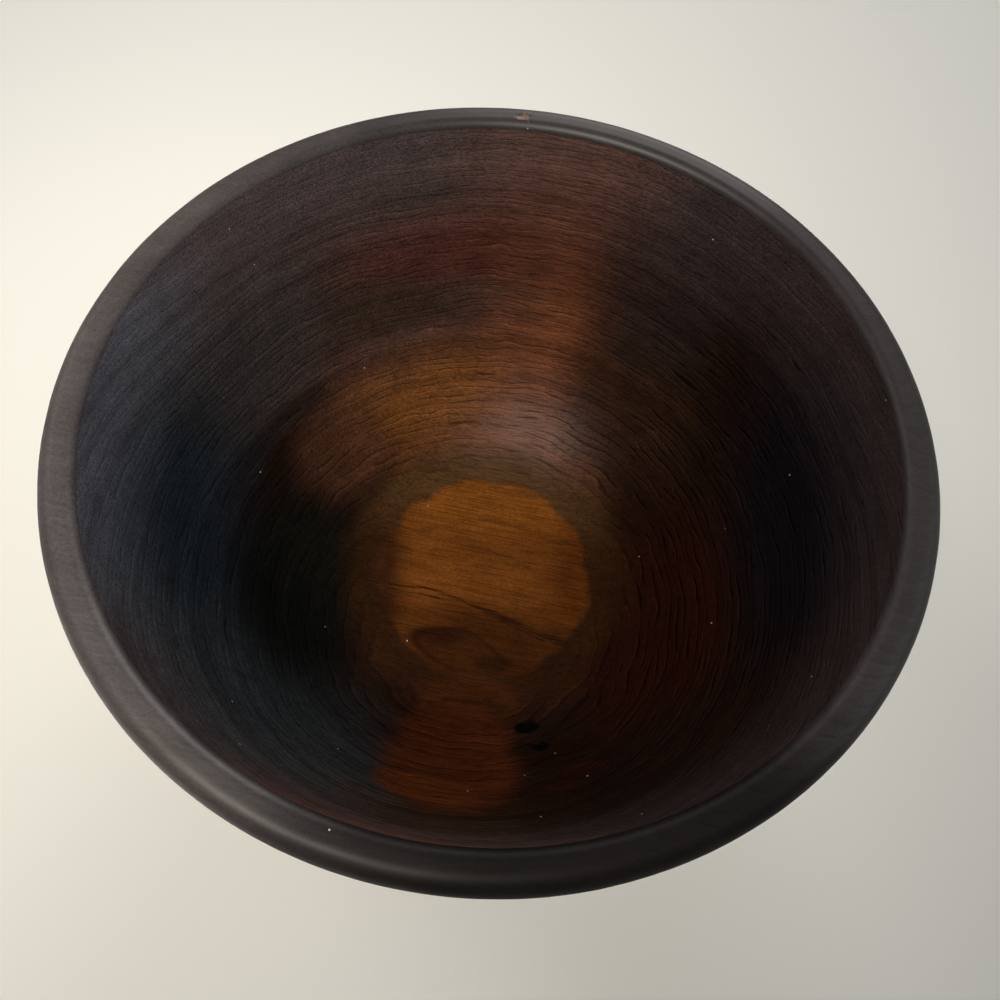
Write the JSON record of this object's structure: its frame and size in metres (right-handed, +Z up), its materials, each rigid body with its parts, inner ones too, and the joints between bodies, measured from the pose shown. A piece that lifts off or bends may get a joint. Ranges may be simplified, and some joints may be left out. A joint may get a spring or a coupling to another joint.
{
  "type": "salad bowl",
  "caption": "Deep round wooden bowl turned from one block, with a thick rounded rim, a flared wall, a flat floor and a low foot ring, for serving salad.",
  "frame": {"origin": "on the turning axis, at the centre of the foot ring's underside", "axes": "+Z up along the turning axis; the wood's grain runs about along X"},
  "size_m": [0.28, 0.28, 0.137],
  "materials": {
    "stained_hardwood": "dark stain under a worn satin lacquer, with the paler wood showing through on the floor"
  },
  "bodies": {
    "root": {"bowl": "stained_hardwood"}
  },
  "joints": []
}
